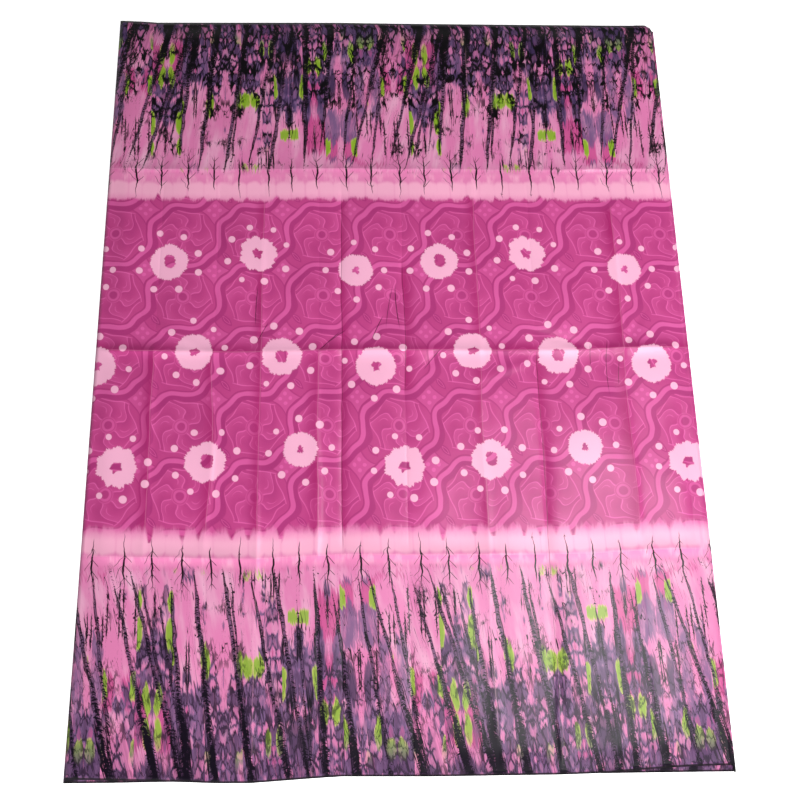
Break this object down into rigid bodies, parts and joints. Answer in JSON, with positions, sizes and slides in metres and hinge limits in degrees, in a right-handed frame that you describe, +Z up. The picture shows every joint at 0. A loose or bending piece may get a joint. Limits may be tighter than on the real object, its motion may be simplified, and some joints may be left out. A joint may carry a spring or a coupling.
{
  "type": "bazin fabric",
  "caption": "Length of glazed printed cotton damask, doubled end to end and laid out flat, with packet creases and a fold down one side.",
  "frame": {"origin": "centre of the cloth's outline, on the surface it lies on", "axes": "+X along the length, from the cut ends to the fold; +Y across the width, to the upper selvedge; +Z up from the surface"},
  "size_m": [0.9046, 1.1778, 0.0089],
  "materials": {
    "printed_cloth": "glazed cotton damask, magenta field with pale resist flowers and streaky dark borders",
    "printed_cloth_under": "the same cloth, the layer below, with its pale selvedge",
    "printed_cloth_fold": "the same cloth, where it turns over at the fold"
  },
  "bodies": {
    "root": {"upper_layer": "printed_cloth", "lower_layer": "printed_cloth_under", "right_fold": "printed_cloth_fold"}
  },
  "joints": []
}
